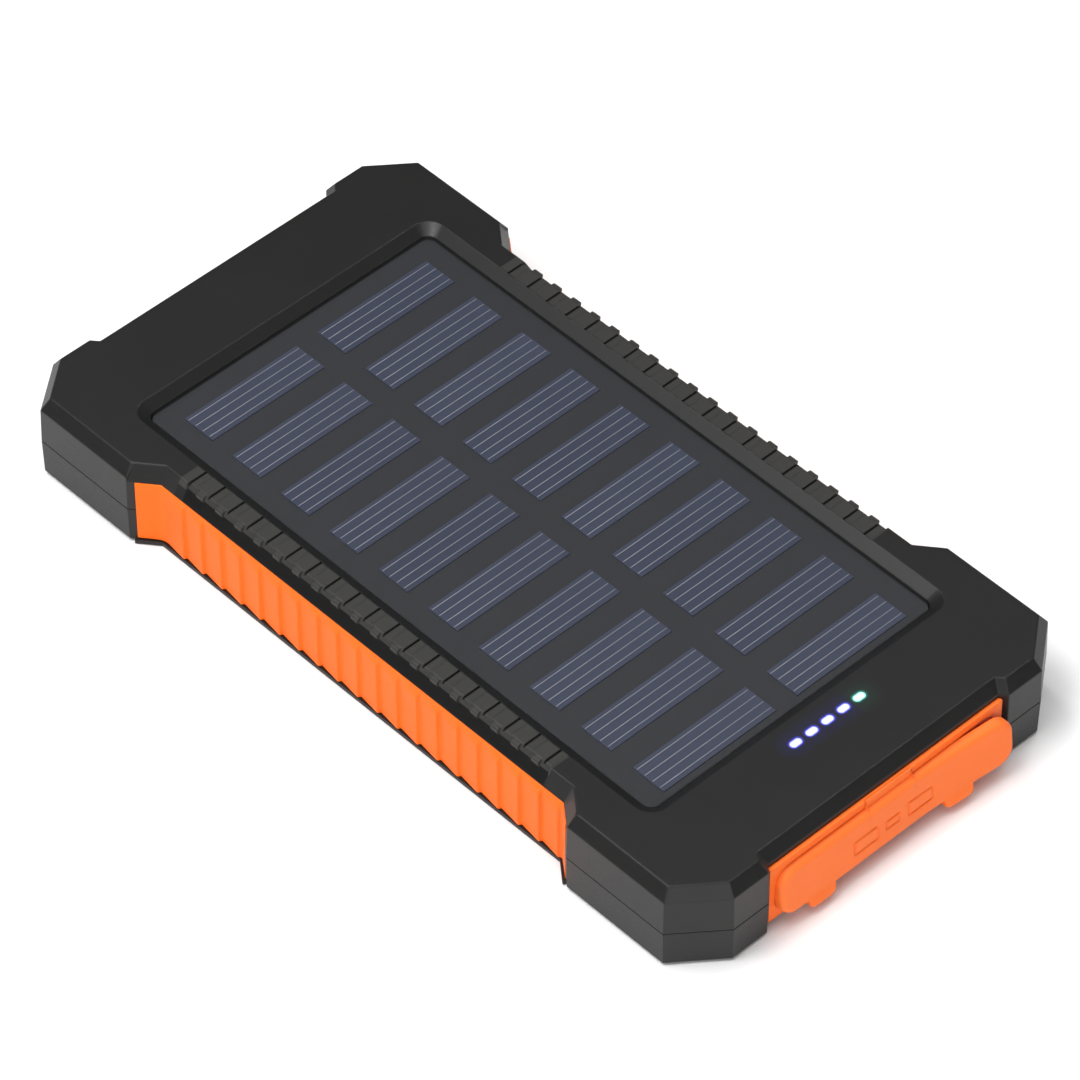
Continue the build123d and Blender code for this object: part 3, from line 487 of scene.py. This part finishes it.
# Side grips: two bands of soft orange rubber, moulded and pressed into pockets along the sides. Overlapping
# scales rise towards the port end, step back sharply, and fade out below the top edge.
def orange_rubber(name, colour):
    """Orange silicone: matt, with a little light scattered under its surface."""
    return moulded(
        name,
        colour,
        rough=(0.42, 0.55),
        grain=0.3 * MM,
        height=0.004 * MM,
        tone=0.04,
        edge=0.15 * MM,
        Specular_IOR_Level=0.16,
        Subsurface_Weight=0.1,
        Subsurface_Scale=0.5 * MM,
        Subsurface_Radius=(1.0, 0.25, 0.05),
    )


def smooth(t):
    """Smoothstep: 0 below 0, 1 above 1, and 3 t squared less 2 t cubed between."""
    t = np.clip(t, 0, 1)
    return t * t * (3 - 2 * t)


grip_rubber = orange_rubber("grip_rubber", (0.96, 0.155, 0.01))
RIBS = 19
RIB_PITCH = 4.14 * MM
RIB_LAST_X = 37.8 * MM
RIB_PROUD = 0.52 * MM
BAND_FACE_Y = 34.8 * MM
BAND_BACK_Y = 33.0 * MM
STRAIGHT_HALF = 41.9 * MM
FACE_END_X = 44.9 * MM
BACK_BEND_X = 42.5 * MM
BACK_END_X = 46.0 * MM
BACK_END_Y = 35.7 * MM
ENDS_FROM_X = STRAIGHT_HALF - 0.3 * MM
END_SLOPE = 0.8
BEND_SOFT = 0.5 * MM
BAND_LIP = 0.35 * MM
LIP_SHARE = 0.2
FADE_LONG = 1.3 * MM


def scale_height(x):
    """How far a scale stands out at x: it rises evenly over its pitch, then steps back over the last tenth.
    The scales die out just before the band's ends turn."""
    step_start = 0.9
    end_fade = 0.6 * MM
    share = (x - RIB_LAST_X) / RIB_PITCH + RIBS
    fraction = share - np.floor(share)
    fraction = np.where((share <= 0) | (share > RIBS + 0.97), 0, fraction)
    drop = 1 - smooth((fraction - step_start) / (1 - step_start))
    return RIB_PROUD * fraction * drop * (1 - smooth((np.abs(x) - STRAIGHT_HALF + end_fade) / end_fade))


def grip_points(side):
    """The band's section is a closed loop in depth and height, carried along the pocket's plan: straight
    between the two slanted ends. A point's place is the back's place plus its share of the way to the front.
    At the ends the front moves out by END_SLOPE times a soft ramp, half the sum of the distance past the bend
    and the root of that distance squared plus BEND_SOFT squared. The scales add to the depth of the front,
    and fade out towards the top."""
    low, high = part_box("right_grip" if side < 0 else "left_grip")
    marks = np.array([0.0, 0.2, 0.4, 0.6, 0.75, 0.86, 0.9, 0.92, 0.94, 0.96, 0.98, 0.999])
    scales = (RIB_LAST_X + (np.arange(-RIBS, 1)[:, None] + marks) * RIB_PITCH).ravel()
    ends = np.linspace(ENDS_FROM_X, FACE_END_X, 9)
    x = np.concatenate([-ends[::-1], scales[np.abs(scales) < ends[0] - 0.05 * MM], ends])
    past = np.abs(x) - STRAIGHT_HALF
    soft = 0.5 * (past + np.sqrt(past**2 + BEND_SOFT**2))
    front = BAND_FACE_Y + END_SLOPE * soft
    plan = [0, STRAIGHT_HALF, ends[-1]]
    back_x = np.sign(x) * np.interp(np.abs(x), plan, [0, BACK_BEND_X, BACK_END_X])
    back_y = np.interp(np.abs(x), plan, [BAND_BACK_Y, BAND_BACK_Y, BACK_END_Y])
    turn = np.linspace(np.pi / 2, 0, 5)
    lip_share = 1 - LIP_SHARE * (1 - np.cos(turn))
    lip_drop = BAND_LIP * (1 - np.sin(turn))
    top_lip = np.stack([lip_share, high.z - lip_drop], -1)
    foot_lip = np.stack([lip_share, low.z + lip_drop], -1)[::-1]
    heights = np.linspace(high.z - BAND_LIP, low.z + BAND_LIP, 22)[1:-1]
    face = np.stack([np.ones_like(heights), heights], -1)
    section = np.vstack([[[0, low.z], [0, high.z]], top_lip, face, foot_lip])
    share = section[:, 0]
    z = section[:, 1]
    fade = smooth((high.z - BAND_LIP - z) / FADE_LONG) * (share > 0.5)
    px = back_x[:, None] + (x - back_x)[:, None] * share
    py = back_y[:, None] + (front - back_y)[:, None] * share + scale_height(x)[:, None] * fade
    return np.stack([px, side * py, np.broadcast_to(z, px.shape)], -1)


for side, name in ((-1, "right_grip"), (1, "left_grip")):
    band = surface_mesh(name + "_band", grip_points(side), grip_rubber, "case", crease=50)
    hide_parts(name)

# Port bezel: an orange moulding that frames the sockets in the end of the case. The flap lies in a shallow
# seat in its face, and the flap's bead turns in a groove at its top.
bezel_plastic = orange_rubber("bezel_plastic", (0.96, 0.17, 0.025))
give(bezel_plastic, "port_bezel")

# Port flap: one soft orange rubber moulding that covers the sockets, held by the bead of its neck at the top.
# Its far end has sprung out of the seat, two finger tabs hang below, and three port outlines are sunk in it.
flap_rubber = orange_rubber("flap_rubber", (0.96, 0.185, 0.034))
flap_low, flap_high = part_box("port_flap")
FLAP_HALF = flap_high.y
PLATE_LOW = 2.6 * MM
PLATE_TOP = 10.8 * MM
PLATE_FACE = 71.5 * MM
PLUG_LONG = 0.8 * MM
PLATE_BACK = flap_low.x + PLUG_LONG
CORNER = 2.8 * MM
NECK_HALF = 4.3 * MM
NECK_EDGE = 0.03 * MM
NECK_FACE = 70.45 * MM
NECK_TOP = 12.28 * MM
HINGE = np.array([70.4, 11.85]) * MM
BEAD = 0.45 * MM
BEAD_SKIN = 0.1 * MM
BEAD_BLEND = 0.15 * MM
NECK_BACK = HINGE[0] - 0.2 * MM
THINNEST = 0.02 * MM
NEAR_STRETCH = 1.014
FAR_STRETCH = 1.046
FAR_LIFT = 0.4 * MM
LEAN_OUT = 0.9 * MM
SPRUNG_OUT = 1.45 * MM
TAB_HALF = 2.5 * MM
TAB_HANG = 1.35 * MM
TAB_ROOT_Z = PLATE_LOW + 1.2 * MM
TAB_LEAN = 0.45 * MM
TAB_LEAN_Z = PLATE_LOW + 1.0 * MM
TAB_LEAN_TALL = 2.0 * MM
EDGE_ROUND = 0.85 * MM
MARK_DEEP = 0.22 * MM
MARK_FLAT = 0.1 * MM
MARK_SIDE = 0.14 * MM
MARK_CORNER = 0.35 * MM
MARK_Z = 6.3 * MM


def stand_off(y, z):
    """How far the flap stands off its seat. It leans out evenly towards its foot, and past the neck its far
    end has sprung out by the power 1.5 of the share of the way along."""
    lean = LEAN_OUT * np.clip((PLATE_TOP - z) / (PLATE_TOP - PLATE_LOW), 0, None)
    return lean + SPRUNG_OUT * np.clip((y - NECK_HALF) / (FLAP_HALF - NECK_HALF), 0, 1) ** 1.5


def tab_reach(y):
    """How far a tab hangs below the plate at y: one near each end, flat below with steep sides. It is the
    root of 1 less the sixth power of the offset from its middle over its half-width."""
    reach = np.zeros_like(y)
    for middle in (-14.2 * MM, 11.7 * MM):
        off = np.abs(y - middle) / TAB_HALF
        reach = np.maximum(reach, TAB_HANG * np.sqrt(np.clip(1 - off**6, 0, 1)))
    return reach


def box_distance(y, z, middle, half, radius):
    """How far a point lies inside a rounded rectangle of half-sizes half, negative outside. It is the radius
    less the point's distance past the centre of the corner's arc, or, where the point isn't past it either
    way, less the larger of the two negative offsets."""
    q_y = np.abs(y - middle[0]) - half[0] + radius
    q_z = np.abs(z - middle[1]) - half[1] + radius
    return radius - np.hypot(np.maximum(q_y, 0), np.maximum(q_z, 0)) - np.minimum(np.maximum(q_y, q_z), 0)


def eased(distance, radius):
    """Drop of a rounded edge: a quarter circle of that radius from the outline inwards."""
    inside = np.clip(1 - distance / radius, 0, 1)
    return radius * (1 - np.sqrt(1 - inside**2))


def port_marks(y, z):
    """Depth of the sunk mark: a thin line along the outline of a wide, a small and a wide port, whose sides
    ease out by smoothstep."""
    depth = np.zeros_like(y)
    for middle, half_y, half_z in ((-5.4, 2.3, 1.15), (-0.2, 1.35, 0.7), (5.0, 2.3, 1.15)):
        inside = box_distance(y, z, (middle * MM, MARK_Z), (half_y * MM, half_z * MM), MARK_CORNER)
        line = 1 - smooth((np.abs(inside) - MARK_FLAT) / MARK_SIDE)
        depth = np.maximum(depth, MARK_DEEP * line)
    return depth


def flap_points():
    """The flap as one closed sheet. Each row stands at one place along the flap and runs up the front from
    foot to head, then down the back. The outline is a rectangle less a quarter circle at each corner, with
    the tabs added below and the neck above. The front is the plate's face less the rounded edge and the sunk
    marks, and at the neck it follows the bead's circle about the hinge. The back is flat, with the same
    circle behind the bead. The whole is then stretched a little along its length, and moved out by how far
    it stands off its seat."""
    fine_y = np.linspace(-FLAP_HALF + CORNER, FLAP_HALF - CORNER, 300)
    end_turn = np.linspace(0, np.pi / 2, 16)[1:]
    round_y = FLAP_HALF - CORNER + CORNER * np.sin(end_turn)
    neck_edge = np.array([-1, 1])[:, None] * (NECK_HALF + np.array([-1, 0, 1]) * NECK_EDGE)
    flap_y = np.unique(np.concatenate([-round_y, fine_y, round_y, neck_edge.ravel()]))
    past_corner = np.clip(np.abs(flap_y) - FLAP_HALF + CORNER, 0, CORNER)
    shrink = CORNER - np.sqrt(np.clip(CORNER**2 - past_corner**2, 0, None))
    foot_z = PLATE_LOW + shrink - tab_reach(flap_y)
    neck_rise = np.where(np.abs(flap_y) <= NECK_HALF, NECK_TOP - PLATE_TOP, 0)
    head_z = PLATE_TOP - shrink + neck_rise

    steps = (np.linspace(0, 1, 64), np.linspace(0, 0.06, 8), np.linspace(0.85, 1, 26))
    across = np.unique(np.concatenate(steps))
    y = np.repeat(flap_y[:, None], len(across), 1)
    z = foot_z[:, None] + (head_z - foot_z)[:, None] * across
    plate_middle = (0, (PLATE_LOW + PLATE_TOP) / 2)
    plate_half = (FLAP_HALF, (PLATE_TOP - PLATE_LOW) / 2)
    in_plate = box_distance(y, z, plate_middle, plate_half, CORNER)
    in_tab = np.minimum(z - foot_z[:, None], np.where(tab_reach(y) > 0, 1.0, 0.0))
    in_all = np.where(z < TAB_ROOT_Z, np.maximum(in_plate, in_tab), in_plate)
    lean = TAB_LEAN * smooth((TAB_LEAN_Z - z) / TAB_LEAN_TALL) * (tab_reach(y) > 0)
    face_x = PLATE_FACE + lean - eased(in_all, EDGE_ROUND) - port_marks(y, z)
    face_x = np.where(in_plate < 0, np.where(z > PLATE_TOP, NECK_FACE, face_x), face_x)
    face_x = np.where(np.abs(y) <= NECK_HALF, np.maximum(face_x, NECK_FACE), face_x)
    over = np.clip(z - HINGE[1], 0, BEAD)
    bead_front = HINGE[0] + np.sqrt(BEAD**2 - over**2)
    on_neck = z > HINGE[1] - BEAD_BLEND
    face_x = np.where(on_neck, np.minimum(face_x, bead_front + BEAD_SKIN * (1 - over / BEAD)), face_x)
    back_x = np.full_like(z, PLATE_BACK)
    back_x = np.where(z > PLATE_TOP, NECK_BACK, back_x)
    off_bead = np.clip(np.abs(z - HINGE[1]), 0, BEAD)
    back_x = np.where(z > HINGE[1] - BEAD, HINGE[0] - np.sqrt(BEAD**2 - off_bead**2), back_x)
    back_x = np.minimum(back_x, face_x - THINNEST)
    off_seat = stand_off(y, z)
    end_share = np.clip(y / FLAP_HALF, 0, 1)
    long_y = y * np.where(y > 0, FAR_STRETCH, NEAR_STRETCH)
    raised_z = z + FAR_LIFT * end_share**2
    front = np.stack([face_x + off_seat, long_y, raised_z], -1)
    back = np.stack([back_x + off_seat, long_y, raised_z], -1)[:, ::-1]
    return np.concatenate([front, back], axis=1)


flap = surface_mesh("port_flap_skin", flap_points(), flap_rubber, "flap", crease=50)
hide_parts("port_flap")


# Plugs: hollow bosses on the back of the flap, moulded in one with it in the same soft rubber. They push into
# the three sockets and hold the flap shut.
def plug_points(middle, half, wall, depth, root_x):
    """A short cup whose rings are rounded rectangles. Its section, an inset and a reach from the root, runs
    along the outside, round the rim, and back along the inside to a floor."""
    turn = np.linspace(0, np.pi / 2, 6)
    angle = np.concatenate([turn + quarter * np.pi / 2 for quarter in range(4)])
    sign_y = np.repeat([1, -1, -1, 1], len(turn))
    sign_z = np.repeat([1, 1, -1, -1], len(turn))
    inset = np.array([0, 0, 0.25, 0.5, 1.0, 1.0, 1.3]) * wall
    reach = np.array([0, 0.8, 1.0, 1.0, 0.85, 0.2, 0.2]) * depth
    corner = 0.8 * MM
    sharpest = 0.05 * MM
    radius = np.maximum(corner - inset, sharpest)[:, None]
    core_y = half[0] - inset[:, None] - radius
    core_z = half[1] - inset[:, None] - radius
    y = middle[0] + sign_y * core_y + radius * np.cos(angle)
    z = middle[1] + sign_z * core_z + radius * np.sin(angle)
    x = np.broadcast_to((root_x - reach)[:, None], y.shape)
    return np.stack([x, y, z], -1)


usb_low, usb_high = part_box("usb_shell_2")
micro_low, micro_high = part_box("micro_usb_socket")
usb_y = (usb_low.y + usb_high.y) / 2
PLUG_WALL = 0.7 * MM
WALL_LIMIT = 0.4
PLUG_SUNK = 0.1 * MM
WIDE_SLACK = 0.45 * MM
SMALL_SLACK = 0.4 * MM
for name, middle_y, box_low, box_high, slack in (
    ("plug_right", -usb_y, usb_low, usb_high, WIDE_SLACK),
    ("plug_middle", 0.0, micro_low, micro_high, SMALL_SLACK),
    ("plug_left", usb_y, usb_low, usb_high, WIDE_SLACK),
):
    half = ((box_high.y - box_low.y) / 2 - slack, (box_high.z - box_low.z) / 2 - slack)
    middle = (middle_y, (box_low.z + box_high.z) / 2)
    root = PLATE_BACK + PLUG_SUNK + stand_off(middle_y, middle[1])
    depth = root - flap_low.x
    points = plug_points(middle, half, min(PLUG_WALL, half[1] * WALL_LIMIT), depth, root)
    plug = surface_mesh(name, points, flap_rubber, "flap")

# Studio: a plain white table that can be seen through from below, the main light high on the near left, one
# overhead, a fill on each near side, and two small lights that pick out the edges of the top.
scene = bpy.context.scene
floor_paint, tree, surface, place = shader("table_top")
haze = wire(tree, "TexNoise", {"Vector": place, "Scale": 3.0}).outputs["Fac"]
off_white = between(tree, haze, (0.93, 0.93, 0.93, 1), (0.95, 0.95, 0.95, 1))
tree.links.new(off_white, surface.inputs["Base Color"])
surface.inputs["Roughness"].default_value = 0.7
below = tree.nodes.new("ShaderNodeNewGeometry").outputs["Backfacing"]
tree.links.new(calc(tree, "SUBTRACT", 1.0, below), surface.inputs["Alpha"])
table = bpy.data.meshes.new("table")
reach = 3.0
table_z = -0.02 * MM
table_corners = [
    (-reach, -reach, table_z),
    (reach, -reach, table_z),
    (reach, reach, table_z),
    (-reach, reach, table_z),
]
table.from_pydata(table_corners, [], [(0, 1, 2, 3)])
table.materials.append(floor_paint)
table_top = bpy.data.objects.new("table", table)
scene.collection.objects.link(table_top)


def soft_light(name, azimuth, elevation, distance, size, power):
    """A square area light at a distance from the charger, facing it. Azimuth 0 is on the -Y side, and 90 on
    the +X side."""
    lamp = bpy.data.lights.new(name, "AREA")
    lamp.shape = "SQUARE"
    lamp.size = size
    lamp.energy = power
    light = bpy.data.objects.new(name, lamp)
    turn = radians(azimuth)
    rise = radians(elevation)
    away = Vector((sin(turn) * cos(rise), -cos(turn) * cos(rise), sin(rise)))
    light.location = away * distance
    light.rotation_euler = away.to_track_quat("Z", "Y").to_euler()
    scene.collection.objects.link(light)


soft_light("key", 335, 64, 1.2, 0.6, 8.8)
soft_light("left_edge", 258, 60, 1.0, 0.2, 1.3)
soft_light("overhead", 45, 82, 1.2, 0.9, 6.5)
soft_light("front_fill", 10, 30, 1.3, 0.9, 3.8)
soft_light("side_fill", 65, 15, 1.3, 0.7, 4.6)
soft_light("far_edge", 190, 60, 1.0, 0.2, 1.3)
world = bpy.data.worlds.new("studio")
world.use_nodes = True
world.node_tree.nodes["Background"].inputs["Color"].default_value = (1, 1, 1, 1)
world.node_tree.nodes["Background"].inputs["Strength"].default_value = 0.12
scene.world = world
scene.view_settings.view_transform = "Standard"

# Camera: a long lens high above the near corner, between the right side and the port end. It looks at a point
# near the charger's middle.
AZIMUTH = radians(46.43)
ELEVATION = radians(46.4)
DISTANCE = 0.9074
aim = Vector((5.4, -4.4, 15.0)) * MM
back = Vector((sin(AZIMUTH) * cos(ELEVATION), -cos(AZIMUTH) * cos(ELEVATION), sin(ELEVATION)))
lens = bpy.data.cameras.new("camera")
lens.lens = 212.6
lens.sensor_width = 36
lens.clip_start = 0.01
camera = bpy.data.objects.new("camera", lens)
camera.location = aim + back * DISTANCE
camera.rotation_euler = back.to_track_quat("Z", "Y").to_euler()
scene.collection.objects.link(camera)
scene.camera = camera
